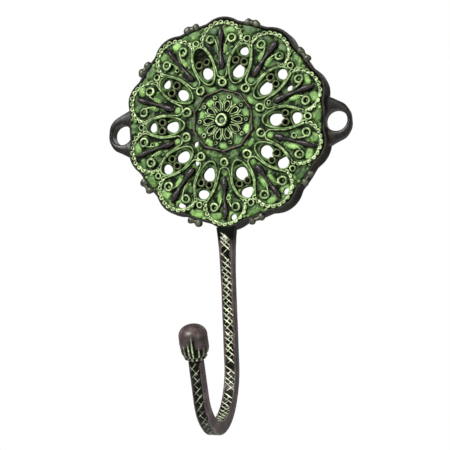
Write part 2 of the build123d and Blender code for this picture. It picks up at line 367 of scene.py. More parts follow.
def patina(
    name, colours, crest_gain, cavity_gain, rough, bump, patch_mm, gloss=0.34, stain=0.0, metallic=0.0
):
    """Oxide over cast metal. Its screen colours are for painted shade and stains, three tones of patches, and
    rubbed crests.
    """
    dark, low, mid, high, pale = [rgb(*colour) for colour in colours]
    m = bpy.data.materials.new(name)
    m.use_nodes = True
    nodes, links = m.node_tree.nodes, m.node_tree.links
    bsdf = nodes["Principled BSDF"]
    where = nodes.new("ShaderNodeTexCoord")

    def plug(socket, value):
        if isinstance(value, (int, float, tuple)):
            socket.default_value = value
        else:
            links.new(value, socket)

    def noise(scale_mm, detail, roughness, offset):
        shift = nodes.new("ShaderNodeVectorMath")
        shift.operation = "ADD"
        plug(shift.inputs[0], where.outputs["Object"])
        plug(shift.inputs[1], (offset, offset * 0.7, -offset))
        n = nodes.new("ShaderNodeTexNoise")
        plug(n.inputs["Scale"], 1.0 / (scale_mm * MM))
        plug(n.inputs["Detail"], detail)
        plug(n.inputs["Roughness"], roughness)
        plug(n.inputs["Vector"], shift.outputs[0])
        return n.outputs["Fac"]

    def ramp(source, stops):
        r = nodes.new("ShaderNodeValToRGB")
        elements = r.color_ramp.elements
        while len(elements) < len(stops):
            elements.new(0.5)
        for element, (at, colour) in zip(elements, stops):
            element.position = at
            element.color = colour
        plug(r.inputs["Fac"], source)
        return r.outputs["Color"]

    def math_node(kind, a, b, clamp=False):
        n = nodes.new("ShaderNodeMath")
        n.operation = kind
        n.use_clamp = clamp
        plug(n.inputs[0], a)
        plug(n.inputs[1], b)
        return n.outputs[0]

    def plus(a, b, clamp=False):
        return math_node("ADD", a, b, clamp)

    def times(a, b, clamp=False):
        return math_node("MULTIPLY", a, b, clamp)

    def mix(amount, a, b, blend="MIX"):
        n = nodes.new("ShaderNodeMix")
        n.data_type = "RGBA"
        n.blend_type = blend
        plug(n.inputs["Factor"], amount)
        plug(n.inputs["A"], a)
        plug(n.inputs["B"], b)
        return n.outputs["Result"]

    def attribute(key):
        n = nodes.new("ShaderNodeAttribute")
        n.attribute_name = key
        return n.outputs["Fac"]

    patches = noise(patch_mm, 3.0, 0.55, 0.13)
    fine = noise(0.55, 3.0, 0.6, 0.41)
    grit = noise(0.22, 2.0, 0.6, 0.77)
    wear = noise(1.3, 2.0, 0.5, 0.29)
    blots = noise(2.0, 2.0, 0.55, 0.57)

    shade = plus(times(patches, 0.7), times(attribute("tone"), 0.7))
    body = ramp(math_node("SUBTRACT", shade, 0.2), ((0.25, low), (0.5, mid), (0.8, high)))
    speck = ramp(fine, ((0.30, (0.62, 0.62, 0.62, 1)), (0.62, (1.12, 1.12, 1.12, 1))))
    speckled = mix(1.0, body, speck, "MULTIPLY")

    broken = times(math_node("SUBTRACT", wear, 0.40), 3.6, clamp=True)
    broken = plus(times(broken, 0.72), times(fine, 0.5))
    rub = times(times(attribute("crest"), broken), crest_gain, clamp=True)
    rubbed = mix(rub, speckled, pale)

    # painted shade: the cavity amount darkens hollows and feet towards the dark colour, and blots add real
    # stains
    shade_and_stain = times(times(attribute("cavity"), plus(times(patches, 0.9), 0.62)), cavity_gain)
    blot = times(math_node("SUBTRACT", blots, 0.53), 7.0, clamp=True)
    shade_and_stain = plus(shade_and_stain, times(blot, stain), clamp=True)
    plug(bsdf.inputs["Base Color"], mix(shade_and_stain, rubbed, dark))

    plug(bsdf.inputs["Specular IOR Level"], times(math_node("SUBTRACT", 1.15, shade_and_stain), gloss))
    plug(bsdf.inputs["Roughness"], plus(times(fine, 0.34), rough - 0.17))
    plug(bsdf.inputs["Metallic"], metallic)
    relief = nodes.new("ShaderNodeBump")
    plug(relief.inputs["Strength"], bump)
    plug(relief.inputs["Distance"], 0.12 * MM)
    plug(relief.inputs["Height"], plus(fine, times(grit, 0.5)))
    plug(bsdf.inputs["Normal"], relief.outputs["Normal"])
    return m


BLACK = (9, 14, 5)
PLATE = patina(
    "verdigris_plate", (BLACK, (32, 60, 17), (66, 101, 38), (120, 158, 82), (168, 196, 122)),
    crest_gain=0.85, cavity_gain=1.1, rough=0.55, bump=0.6, patch_mm=5.0, gloss=0.3, stain=0.4,
)
RELIEF = patina(
    "verdigris_relief", (BLACK, (34, 60, 24), (62, 97, 42), (100, 138, 68), (196, 213, 158)),
    crest_gain=1.0, cavity_gain=1.15, rough=0.5, bump=0.5, patch_mm=3.0, gloss=0.32, stain=0.7,
)
BEADS = patina(
    "verdigris_beads", (BLACK, (34, 60, 24), (62, 97, 42), (98, 136, 68), (194, 210, 158)),
    crest_gain=1.0, cavity_gain=1.15, rough=0.5, bump=0.45, patch_mm=3.0, stain=0.55,
)
SPINDLE = patina(
    "dark_bronze_spindle", ((6, 5, 4), (10, 7, 7), (17, 11, 13), (36, 26, 29), (70, 62, 56)),
    crest_gain=0.3, cavity_gain=1.1, rough=0.36, bump=0.8, patch_mm=1.4, gloss=0.22, stain=0.6,
)
SKIRT = patina(
    "dark_bronze_skirt", ((7, 6, 5), (12, 9, 8), (21, 17, 15), (34, 29, 25), (98, 106, 80)),
    crest_gain=0.4, cavity_gain=0.9, rough=0.55, bump=0.7, patch_mm=4.0, gloss=0.1, stain=0.3,
)
GRAINS = patina(
    "dark_bronze_grains", ((6, 6, 4), (9, 8, 6), (17, 16, 12), (32, 36, 24), (128, 140, 100)),
    crest_gain=0.38, cavity_gain=0.9, rough=0.36, bump=0.6, patch_mm=2.0, gloss=0.25, stain=0.7,
)
EAR = patina(
    "dark_bronze_ear", ((6, 5, 4), (9, 7, 6), (18, 14, 13), (40, 34, 31), (112, 118, 100)),
    crest_gain=0.5, cavity_gain=0.9, rough=0.36, bump=0.4, patch_mm=4.0, gloss=0.16, stain=0.3,
)
FRAME = patina(
    "brown_frame", ((10, 8, 6), (16, 12, 10), (30, 24, 20), (48, 44, 34), (92, 88, 68)),
    crest_gain=0.6, cavity_gain=1.1, rough=0.5, bump=0.45, patch_mm=3.0, gloss=0.3, stain=0.4, metallic=0.1,
)
CUP = patina(
    "brown_cup", ((12, 10, 6), (30, 27, 16), (46, 44, 27), (64, 74, 40), (150, 170, 116)),
    crest_gain=0.8, cavity_gain=1.1, rough=0.48, bump=0.45, patch_mm=3.0, metallic=0.1,
)
ROD = patina(
    "engraved_rod", ((6, 8, 4), (26, 20, 19), (58, 47, 46), (112, 98, 94), (206, 216, 180)),
    crest_gain=1.1, cavity_gain=1.25, rough=0.44, bump=0.3, patch_mm=6.0, gloss=0.3, metallic=0.15,
)
KNOB = patina(
    "knob_bronze", ((6, 7, 3), (26, 17, 18), (50, 38, 38), (108, 92, 88), (170, 190, 142)),
    crest_gain=1.0, cavity_gain=1.25, rough=0.42, bump=0.12, patch_mm=4.0, gloss=0.28, stain=0.25,
    metallic=0.1,
)


# ---------------------------------------------------------------- the drawing

def arc(cx, cy, radius, start_deg, end_deg, count=40):
    """Points on an arc, degrees clockwise from straight up."""
    a = np.radians(np.linspace(start_deg, end_deg, count))
    return np.stack([cx + radius * np.sin(a), cy + radius * np.cos(a)], 1)


def both_sides(right):
    """Points of a symmetrical outline from its right half, which the far side follows back."""
    return [*right, *[(-x, y) for x, y in reversed(right) if x > 0]]


def teardrop_outline():
    """Almond about the two cups, straight up from the centre."""
    right = (
        (0, 15.4), (1.5, 16.1), (2.75, 18.1), (3.55, 20.6), (3.9, 23.0), (3.7, 25.5), (2.95, 28.1),
        (1.7, 30.0), (0, 30.7),
    )
    return curve_through(both_sides(right), 0.35, closed=True)


def lobe_outline():
    """Spoon-shaped wire from both ends of the bead row in to the root ring."""
    right = (
        (7.3, 30.2), (6.1, 28.6), (4.6, 26.6), (3.35, 24.4), (2.6, 22.0), (2.1, 19.6), (1.6, 17.9), (0, 17.2),
    )
    return curve_through(both_sides(right), 0.35)


def petal_outline():
    right = ((0, 3.5), (0.5, 4.3), (0.98, 5.5), (1.05, 6.4), (0.66, 7.2), (0, 7.55))
    return curve_through(both_sides(right), 0.22, closed=True)


TEARDROPS = [warp(sector(teardrop_outline(), teardrop_angle(i))) for i in range(SECTORS)]
LOBES = [warp(sector(lobe_outline(), lobe_angle(i))) for i in range(SECTORS)]
PETALS = [warp(sector(petal_outline(), teardrop_angle(i))) + ROSETTE_SHIFT for i in range(SECTORS)]


def away(points, x, y):
    """Distance of every point from (x, y)."""
    return np.hypot(points[:, 0] - x, points[:, 1] - y)


def turned(x, y, angle):
    """Offsets along axes turned clockwise by an angle in radians."""
    return x * math.cos(angle) - y * math.sin(angle), x * math.sin(angle) + y * math.cos(angle)


def spots(angle_of, points):
    """Places of a stud that repeats in every sector, warped with the drawing: (sector, x, y)."""
    found = []
    for index in range(SECTORS):
        for place in points:
            x, y = warp(sector([place], angle_of(index)))[0]
            found.append((index, x, y))
    return found


LOBE_RINGS = spots(lobe_angle, ((-4.2, 32.0), (4.2, 32.0)))
CUPS = spots(teardrop_angle, ((-1.65, 24.1), (1.65, 24.1)))
ROOT_RINGS = spots(lobe_angle, ((0, 15.4),))
NOTCH_RINGS = spots(teardrop_angle, ((0, 32.5),))
PELLETS = [(i, x + ROSETTE_SHIFT[0], y + ROSETTE_SHIFT[1]) for i, x, y in spots(teardrop_angle, ((0, 9.2),))]


def pans():
    """Raised panels between the wires: place, turn, half-width, half-length, tone and how far they rise."""
    local = random.Random(8)
    found = []

    def put(angle, u, v, wide, long, tone, lift=0.55):
        shifted = (u + local.uniform(-0.2, 0.2), v + local.uniform(-0.2, 0.2))
        x, y = warp(sector([shifted], angle))[0]
        wide *= local.uniform(0.85, 1.1)
        long *= local.uniform(0.85, 1.1)
        tone = min(1.0, max(0.0, tone + local.uniform(-0.28, 0.28)))
        found.append((x, y, math.radians(angle), wide, long, tone, lift * local.uniform(0.8, 1.15)))

    for i in range(SECTORS):
        axis, drop = lobe_angle(i), teardrop_angle(i)
        put(axis, -3.2, 35.0, 1.9, 1.35, 0.45)
        put(axis, 3.4, 35.2, 2.0, 1.45, 0.62)
        put(axis, -1.85, 28.6, 0.85, 1.9, 0.42)
        put(axis, 1.85, 28.4, 0.9, 2.0, 0.62)
        put(axis, 0.0, 18.9, 1.15, 1.2, 0.62)
        put(drop, 0.0, 36.0, 2.5, 1.35, 0.40)
        put(drop, 0.0, 34.4, 1.2, 0.9, 0.40)
        put(axis, 0.0, 9.4, 1.75, 1.15, 0.75, 0.4)
        put(drop, 0.0, 13.2, 1.7, 0.9, 0.42, 0.4)
    put(teardrop_angle(BLIND_TEARDROP), 0.2, 28.2, 1.5, 1.0, 0.6)
    return found


def scraps(points, clear):
    """Small leaves and grains that fill the ground between the wires: place, size, turn, length and tone."""
    local = random.Random(9)
    most, smallest, largest = 420, 0.75, 1.25
    placed = []
    order = list(range(len(points)))
    local.shuffle(order)
    for index in order:
        if clear[index] < smallest or len(placed) > most:
            continue
        x, y = points[index]
        size = min(largest, clear[index] * local.uniform(0.55, 0.95))
        if any((x - px) ** 2 + (y - py) ** 2 < (0.95 * (size + ps)) ** 2 for px, py, ps, _, _, _ in placed):
            continue
        heading = local.uniform(0, math.pi)
        placed.append((x, y, size, heading, local.uniform(0.5, 0.95), local.uniform(0.15, 0.85)))
    return placed


# ---------------------------------------------------------------- face plate

def outline_distance(x, y, lobe_r, base_r):
    """Distance to the lobed outline, negative inside."""
    d = np.hypot(x, y) - base_r
    for index in range(SECTORS):
        cx, cy = sector([(0, LOBE_CENTRE_R)], lobe_angle(index))[0]
        d = np.minimum(d, np.hypot(x - cx, y - cy) - lobe_r)
    return d


def hole_list():
    """Every opening in the face: centre, turn, half-width, half-length and unevenness."""
    local = random.Random(5)
    holes = []
    for index in range(SECTORS):
        wanted = [LARGE_HOLE] if index == BLIND_TEARDROP else [LARGE_HOLE, OUTER_HOLE]
        for radius, wide, long in wanted:
            centre = warp(sector([(0, radius)], teardrop_angle(index)))[0]
            oval = (local.uniform(0.02, 0.10), local.uniform(0, 2 * math.pi))
            three_sided = (local.uniform(0.02, 0.08), local.uniform(0, 2 * math.pi))
            lower_right = math.cos(math.radians(teardrop_angle(index) - 140.0))
            swell = 0.05 if radius == LARGE_HOLE[0] else 0.24
            grow = local.uniform(0.98, 1.10) * (1 + swell * (0.35 + lower_right))
            turn = math.radians(teardrop_angle(index))
            holes.append((centre, turn, wide * grow, long * grow, oval + three_sided))
    for radius, angle, wide, long in CASTING_HOLES:
        centre = warp(sector([(0, radius)], angle))[0]
        holes.append((centre, math.radians(angle), wide, long, (0.08, 1.0, 0.05, 2.0)))
    return holes


HOLES = hole_list()


def hole_distance(x, y, hole):
    """Distance to a hole's edge, negative inside the hole."""
    (cx, cy), turn, wide, long, (a2, p2, a3, p3) = hole
    u, v = turned(x - cx, y - cy, turn)
    phi = np.arctan2(u, v)
    reach = 1 + a2 * np.cos(2 * phi + p2) * 0.6 + a3 * np.cos(3 * phi + p3)
    return (np.sqrt((u / wide) ** 2 + (v / long) ** 2) / reach - 1) * min(wide, long)


def metal_distance(x, y):
    """Negative where the face plate has metal."""
    d = outline_distance(x, y, LOBE_FRONT_R - PLATE_INSET, BASE_FRONT_R - PLATE_INSET)
    for hole in HOLES:
        d = np.maximum(d, -hole_distance(x, y, hole))
    return d


def nearest(points, tree):
    """For every point, the distance to the nearest point of a search tree."""
    return np.array([tree.find((x, y, 0.0))[2] for x, y in points])


def tree_of(paths):
    """Search tree over the points of some flat paths."""
    points = np.vstack(paths)
    tree = KDTree(len(points))
    for i, (x, y) in enumerate(points):
        tree.insert((x, y, 0.0), i)
    tree.balance()
    return tree


def inside_polygon(points, polygon):
    """Even-odd test of many points against one closed outline."""
    x, y = points[:, 0], points[:, 1]
    hit = np.zeros(len(points), bool)
    px, py = polygon[:, 0], polygon[:, 1]
    qx, qy = np.roll(px, -1), np.roll(py, -1)
    for ax, ay, bx, by in zip(px, py, qx, qy):
        if ay == by:
            continue
        crosses = ((ay > y) != (by > y)) & (x < (bx - ax) * (y - ay) / (by - ay) + ax)
        hit ^= crosses
    return hit


def ring_path(x, y, radius, count=16):
    a = np.linspace(0, 2 * math.pi, count, endpoint=False)
    return np.stack([x + radius * np.cos(a), y + radius * np.sin(a)], 1)


def stud_outlines():
    """Where the studs and beads stand on the plate."""
    outlines = [ring_path(x, y, 1.75) for _, x, y in LOBE_RINGS + ROOT_RINGS]
    outlines += [ring_path(x, y, 1.35) for _, x, y in NOTCH_RINGS]
    outlines += [ring_path(x, y, 0.8) for _, x, y in PELLETS]
    return outlines + [bead_places(i) for i in range(SECTORS)]


def free_ground(points, to_wire, to_stud, to_hole, to_rosette, panels):
    """Room for a scrap about each point, clear of everything else on the plate."""
    clear = np.minimum(to_wire - 0.7, to_stud - 0.6)
    clear = np.minimum(clear, np.where(to_rosette < 8.2, 0.0, 9.0))
    clear = np.minimum(clear, np.abs(to_rosette - (FRAME_R - 0.1)) - 0.5)
    clear = np.minimum(clear, BASE_FRONT_R - 0.1 - away(points, 0.0, 0.0))
    clear = np.minimum(clear, to_hole - 0.8)
    axis = np.stack([np.zeros(40), np.linspace(SPINDLE_IN + 0.1, SPINDLE_OUT + 0.2, 40)], 1)
    for index in range(SECTORS):
        for x, y in warp(sector(axis, lobe_angle(index))):
            clear = np.minimum(clear, away(points, x, y) - 1.2)
    for x, y, _, wide, long, _, _ in panels:
        clear = np.minimum(clear, away(points, x, y) - 0.9 * max(wide, long))
    return clear


def relief_of(points):
    """Height, crest, cavity and tone of the plate's front at points of the drawing."""
    to_wire = nearest(points, tree_of([*TEARDROPS, *LOBES]))
    to_stud = nearest(points, tree_of(stud_outlines()))
    to_rosette = away(points, *ROSETTE_SHIFT)
    to_hole = np.min([hole_distance(points[:, 0], points[:, 1], hole) for hole in HOLES], axis=0)
    panels = pans()

    # uneven ground, raised in a fillet beside the wires
    height = 0.10 * ripple(points, 9.0, 21) + 0.06 * ripple(points, 2.2, 22) - 0.1
    height += 0.30 * np.exp(-np.maximum(to_wire - 0.45, 0) / 0.30)
    crest = np.zeros(len(points))
    # painted shade over the low ground; the raised scraps and panels below take it off
    cavity = np.clip(0.72 + 0.30 * ripple(points, 4.0, 31), 0.25, 0.95)
    tone = 0.5 + 0.12 * ripple(points, 6.0, 32)

    # scraps and panels
    for x, y, size, heading, ratio, shade in scraps(
        points, free_ground(points, to_wire, to_stud, to_hole, to_rosette, panels)
    ):
        near = np.nonzero(away(points, x, y) < 1.6 * size)[0]
        u, v = turned(points[near, 0] - x, points[near, 1] - y, heading)
        inside = 1 - smooth(0.55, 1.05, np.hypot(u / size, v / (size * ratio)))
        height[near] += 0.45 * inside
        cavity[near] *= 1 - 0.9 * inside
        crest[near] = np.maximum(crest[near], 0.35 * shade * inside)
        tone[near] = tone[near] * (1 - inside) + inside * shade
    for x, y, heading, wide, long, shade, lift in panels:
        u, v = turned(points[:, 0] - x, points[:, 1] - y, heading)
        q = (np.abs(u / wide) ** 2.6 + np.abs(v / long) ** 2.6) ** (1 / 2.6)
        inside = 1 - smooth(0.86, 1.16, q)
        height += lift * inside * (1 - 0.25 * np.minimum(q, 1) ** 2)
        cavity = cavity * (1 - inside) + inside * (0.06 + 0.25 * smooth(0.6, 1.0, q))
        tone = tone * (1 - inside) + inside * shade

    # stray ridges, and painted shade beside wires and studs
    lines = smooth(0.80, 1.0, 1 - 1.3 * np.abs(ripple(points, 6.5, 35)))
    lines *= 1 - smooth(0.0, 0.3, 0.8 - to_wire)
    height += 0.22 * lines
    crest = np.maximum(crest, 0.6 * lines * smooth(-0.3, 0.6, ripple(points, 8.0, 36)))
    cavity *= 1 - 0.6 * lines
    cavity = np.maximum(cavity, 0.95 * np.exp(-(np.maximum(to_wire - 0.42, 0) / 0.50) ** 1.6))
    cavity = np.maximum(cavity, 0.92 * np.exp(-(np.maximum(to_stud - 0.25, 0) / 0.42) ** 1.6))

    # sunk floor inside the teardrops, darkened with painted shade, with a collar round each hole
    collar = np.exp(-((to_hole - 0.55) / 0.42) ** 2)
    for outline in TEARDROPS:
        index = np.nonzero(away(points, *outline.mean(0)) < 9.5)[0]
        inner = index[inside_polygon(points[index], outline)]
        sink = smooth(0.2, 1.2, to_wire[inner])
        height[inner] += -1.15 * sink + 0.75 * collar[inner] * sink
        cavity[inner] = np.maximum(cavity[inner], 0.9 * sink) * (1 - 0.72 * collar[inner])
        crest[inner] = np.maximum(crest[inner] * (1 - sink), 0.35 * collar[inner])
        tone[inner] = 0.45

    # moat round the boss and hollow petals, both darkened with painted shade, and painted shade along the rim
    moat = smooth(2.1, 2.7, to_rosette) * (1 - smooth(3.2, 3.9, to_rosette))
    height -= 0.8 * moat
    cavity = np.maximum(cavity, 0.95 * moat)
    for outline in PETALS:
        inner = inside_polygon(points, outline)
        height[inner] -= 0.35
        cavity[inner] = 0.95
        crest[inner] = 0.0
    cavity = np.maximum(cavity, 0.9 * smooth(37.2, 38.2, away(points, 0.0, 0.0)))
    return height, np.clip(crest, 0, 1), np.clip(cavity, 0, 1), np.clip(tone, 0, 1)


def draw_to_edge(x, y, reach):
    """Moves the points within reach of the metal's edge onto it. Gives every point's distance to the edge."""
    d = metal_distance(x, y)
    near = np.abs(d) < reach
    px, py = x[near], y[near]
    gap = 0.02
    slope_x = (metal_distance(px + gap, py) - metal_distance(px - gap, py)) / (2 * gap)
    slope_y = (metal_distance(px, py + gap) - metal_distance(px, py - gap)) / (2 * gap)
    norm = slope_x**2 + slope_y**2 + 1e-9
    x[near] -= d[near] * slope_x / norm
    y[near] -= d[near] * slope_y / norm
    d[near] = 0.0
    return d


def face_plate():
    """Pierced relief plate on a fine grid, whose edges are drawn onto the outline and the holes."""
    side = np.arange(-GRID_REACH, GRID_REACH + GRID_STEP, GRID_STEP)
    x, y = [axis.ravel() for axis in np.meshgrid(side, side, indexing="ij")]
    keep = draw_to_edge(x, y, 0.62 * GRID_STEP) <= 0
    index = np.arange(len(x)).reshape(len(side), len(side))
    quads = np.stack([index[:-1, :-1], index[1:, :-1], index[1:, 1:], index[:-1, 1:]], -1).reshape(-1, 4)
    corners = [quad[kept] for quad, kept in zip(quads, keep[quads]) if kept.sum() > 2]
    used = np.unique(np.concatenate(corners))
    number = np.zeros(len(x), int)
    number[used] = np.arange(len(used))
    faces = [tuple(number[f].tolist()) for f in corners]
    points = np.stack([x[used], y[used]], 1)
    height, crest, cavity, tone = relief_of(points)
    front = np.column_stack([points, height])
    back = np.column_stack([points, -PLATE_THICK + 0.05 * (ripple(points, 5.0, 41) - 1)])
    count = len(points)
    edges = {(a, b) for f in faces for a, b in zip(f, f[1:] + f[:1])}
    walls = [(b, a, count + a, count + b) for a, b in sorted(edges) if (b, a) not in edges]
    behind = [tuple(count + i for i in reversed(f)) for f in faces]
    back_crest = 0.12 * smooth(-0.2, 0.8, ripple(points, 6.0, 44))
    back_cavity = 0.70 + 0.12 * smooth(-0.4, 0.8, ripple(points, 8.0, 45))
    return Geo().add(
        np.vstack([front, back]), faces + behind + walls, [*crest, *back_crest], [*cavity, *back_cavity],
        [*tone, *tone],
    )


# ---------------------------------------------------------------- skirt and ears

def outline_radius(angles, lobe_r, base_r, softness=0.3):
    """Radius of the lobed outline at angles clockwise from up, with softened notches."""
    radii = [np.full(len(angles), base_r)]
    for index in range(SECTORS):
        off = angles - math.radians(lobe_angle(index))
        across = LOBE_CENTRE_R * np.sin(off)
        hit = lobe_r**2 - across**2
        reach = np.where(hit > 0, LOBE_CENTRE_R * np.cos(off) + np.sqrt(np.maximum(hit, 0)), 0)
        radii.append(reach)
    stack = np.stack(radii)
    top = stack.max(0)
    blend = softness * np.log(np.exp((stack - top) / softness).sum(0))
    return top + blend - softness * math.log(2) * smooth(0, 1.5, blend * 2)


def rim_skirt():
    """Flared lobed wall with a rolled lip round the face plate, open at the back."""
    count = 900
    angles = np.linspace(0, 2 * math.pi, count, endpoint=False)
    around = np.stack([np.sin(angles), np.cos(angles)], 1)
    # inset from the outline, height, crest, cavity (painted shade at the lip's foot, on the wall under the
    # lip and inside the skirt)
    profile = (
        (1.55, -0.25, 0.0, 1.0), (1.25, 0.12, 0.0, 0.8), (0.95, 0.40, 0.18, 0.3), (0.55, 0.52, 0.34, 0.1),
        (0.22, 0.36, 0.25, 0.1), (0.03, -0.05, 0.08, 0.2), (0.0, -0.9, 0.0, 0.3), (0.05, -1.9, 0.0, 0.5),
        (0.12, -3.2, 0.0, 0.6), (0.20, -4.6, 0.0, 0.5), (0.30, -6.0, 0.05, 0.3), (0.35, -7.0, 0.12, 0.15),
        (0.50, -7.40, 0.2, 0.1), (0.80, -7.5, 0.15, 0.1), (1.6, -7.5, 0.1, 0.2), (2.0, -7.35, 0.1, 0.3),
        (2.2, -6.9, 0.1, 0.4), (2.2, -4.6, 0.1, 0.6), (2.2, -2.6, 0.0, 0.8), (2.2, -2.0, 0.0, 1.0),
    )
    rings = []
    for inset, z, _, _ in profile:
        share = min(max(-z / DEPTH, 0.0), 1.0)
        lobe_r = LOBE_FRONT_R + LIP + (LOBE_BACK_R - LIP - LOBE_FRONT_R) * share
        base_r = BASE_FRONT_R + LIP + (BASE_BACK_R - LIP - BASE_FRONT_R) * share
        dent = 0.10 + 0.10 * ripple(np.column_stack([around * 40, np.full(count, z * 1.5)]), 9.0, 51)
        dent = np.maximum(dent, 0) * (0.3 if z > -0.5 or z < -7 else 1.0)
        radius = outline_radius(angles, lobe_r, base_r) - inset - dent
        ring = around * radius[:, None] + RIM_SHIFT
        for side in (-1, 1):
            from_hole = ring - (side * EAR_X, EAR_Y)
            gap = np.linalg.norm(from_hole, axis=1)
            tight = gap < HOLE_R + HOLE_CLEAR
            ring[tight] += from_hole[tight] * ((HOLE_R + HOLE_CLEAR) / gap[tight] - 1)[:, None]
        wave = 0.06 * np.sin(angles * 23) if z > 0 else np.zeros(count)
        rings.append(np.column_stack([ring, z + wave]))
    marks = np.array(profile)
    return Geo().grid(np.array(rings), marks[:, 2:3], marks[:, 3:4], closed=True)


def reach_to(hull, centre, direction):
    """How far a ray from inside a convex outline runs to its edge."""
    a, b = hull, np.roll(hull, -1, 0)
    edge = b - a
    cross = direction[0] * edge[:, 1] - direction[1] * edge[:, 0]
    rel = a - centre
    with np.errstate(divide="ignore", invalid="ignore"):
        t = (rel[:, 0] * edge[:, 1] - rel[:, 1] * edge[:, 0]) / cross
        s = (rel[:, 0] * direction[1] - rel[:, 1] * direction[0]) / cross
    ok = (t > 0) & (s >= -1e-6) & (s <= 1 + 1e-6)
    return t[ok].min()


def ear(side):
    """Screw ear with rounded edges, faired into the skirt above and below."""
    centre = np.array([side * EAR_X, EAR_Y])
    a = np.linspace(0, 2 * math.pi, 90, endpoint=False)
    round_part = centre + np.stack([EAR_WIDE * np.cos(a), EAR_LONG * np.sin(a)], 1)
    web = [(side * EAR_ROOT_X, EAR_Y + EAR_ROOT_REACH), (side * EAR_ROOT_X, EAR_Y - EAR_ROOT_REACH)]
    corners = np.vstack([round_part, web])
    hull = corners[convex_hull_2d(corners.tolist())]
    low, high = -DEPTH, EAR_FRONT
    # hole edge (0) or outer edge (1), inset from that edge, height, crest, cavity (painted shade, deepest on
    # the hole's wall)
    profile = (
        (0, 0.0, low + 0.5, 0.81, 0.3), (0, 0.0, low + 1.8, 0.825, 0.4), (0, 0.0, high - 1.6, 0.84, 0.4),
        (0, 0.0, high - 0.7, 0.855, 0.3), (0, 0.22, high - 0.18, 0.075, 0.0), (0, 0.65, high, 0.03, 0.0),
        (1, 0.75, high - 0.02, 0.03, 0.0), (1, 0.28, high - 0.3, 0.045, 0.0),
        (1, 0.02, high - 1.0, 0.015, 0.1), (1, 0.0, low + 2.0, 0.0, 0.2), (1, 0.0, low + 0.9, 0.0, 0.2),
        (1, 0.2, low + 0.25, 0.03, 0.1), (1, 0.6, low, 0.0, 0.2), (0, 0.5, low, 0.0, 0.3),
    )
    outer, inset, z, crest, cavity = np.array(profile).T
    turns = np.linspace(0, 2 * math.pi, 120, endpoint=False)[:, None]
    direction = np.dstack([np.cos(turns), np.sin(turns)])
    far = np.array([[reach_to(hull, centre, way)] for way in direction[:, 0]])
    ruffle = 0.07 * np.sin(3 * turns + side) + 0.05 * np.sin(7 * turns + 1.3 + z)
    radius = np.where(outer > 0, far - inset - 0.08 - ruffle, HOLE_R + inset)
    flat = centre + direction * radius[..., None]
    return Geo().grid(np.dstack([flat, np.broadcast_to(z, radius.shape)]), crest, cavity, closed=True)


# ---------------------------------------------------------------- studs and wires

# Stud profiles as (radius, height, crest, cavity): cavity paints shade at each foot and in each hollow.
RING = (
    (1.98, -0.12, 0.0, 1.0), (1.90, 0.10, 0.0, 0.8), (1.82, 0.55, 0.15, 0.3), (1.66, 0.98, 0.8, 0.0),
    (1.42, 1.18, 1.0, 0.0), (1.20, 1.08, 0.8, 0.0), (1.02, 0.75, 0.3, 0.4), (0.92, 0.35, 0.0, 0.9),
    (0.70, 0.08, 0.0, 1.0), (0.0, 0.0, 0.0, 1.0),
)
BEAD = (
    (1.06, -0.12, 0.0, 1.0), (1.00, 0.10, 0.0, 0.8), (0.95, 0.45, 0.2, 0.3), (0.84, 0.82, 0.9, 0.0),
    (0.66, 0.98, 1.0, 0.0), (0.50, 0.86, 0.6, 0.2), (0.38, 0.55, 0.1, 0.8), (0.26, 0.30, 0.0, 1.0),
    (0.0, 0.22, 0.0, 1.0),
)
BOSS = (
    (2.55, -0.85, 0.0, 1.0), (2.42, -0.3, 0.0, 0.9), (2.38, 0.9, 0.0, 0.7), (2.38, 2.0, 0.05, 0.4),
    (2.34, 2.45, 0.5, 0.1), (2.22, 2.72, 0.9, 0.0), (1.95, 2.84, 0.95, 0.0), (1.62, 2.78, 0.85, 0.0),
    (1.44, 2.55, 0.35, 0.5), (1.32, 2.15, 0.0, 0.95), (1.08, 1.98, 0.1, 0.7), (0.75, 1.96, 0.3, 0.2),
    (0.0, 1.95, 0.3, 0.1),
)
GRAIN = (
    (0.8, -1.3, 0.0, 0.8), (1.0, -0.7, 0.0, 0.6), (1.02, 0.0, 0.0, 0.4), (0.92, 0.40, 0.1, 0.1),
    (0.70, 0.72, 0.4, 0.0), (0.38, 0.92, 0.7, 0.0), (0.0, 1.0, 0.8, 0.0),
)


def scaled(profile, radial, up, extra_cavity=0.0):
    return tuple((r * radial, z * up, c, min(1.0, d + extra_cavity)) for r, z, c, d in profile)


def stud_group(places, profile, segments, seed, spread=0.06, lean=0.10, base=0.0, shade=0.0):
    """One group of studs, each a little different, leaning up towards the medallion's middle."""
    local = random.Random(seed)
    geo = Geo()
    for n, (_, x, y) in enumerate(places):
        inward = math.degrees(math.atan2(-y, -x)) + local.uniform(-40, 40)
        scale = 1 + local.uniform(-spread, spread)
        lift = lean * local.uniform(0.6, 1.2)
        lathe(geo, (x, y), profile, segments, base, scale, lift, inward, 0.035, seed + n, shade)
    return geo


def bead_place(turn_deg):
    """Place of a bead on its arc about a lobe's tip."""
    a = math.radians(turn_deg)
    return BEAD_ARC_WIDE * math.sin(a), BEAD_ARC_Y + BEAD_ARC_LONG * math.cos(a)


def bead_places(index):
    turns = np.linspace(-BEAD_SPREAD / 2, BEAD_SPREAD / 2, BEAD_COUNT)
    return warp(sector([bead_place(t) for t in turns], lobe_angle(index)))


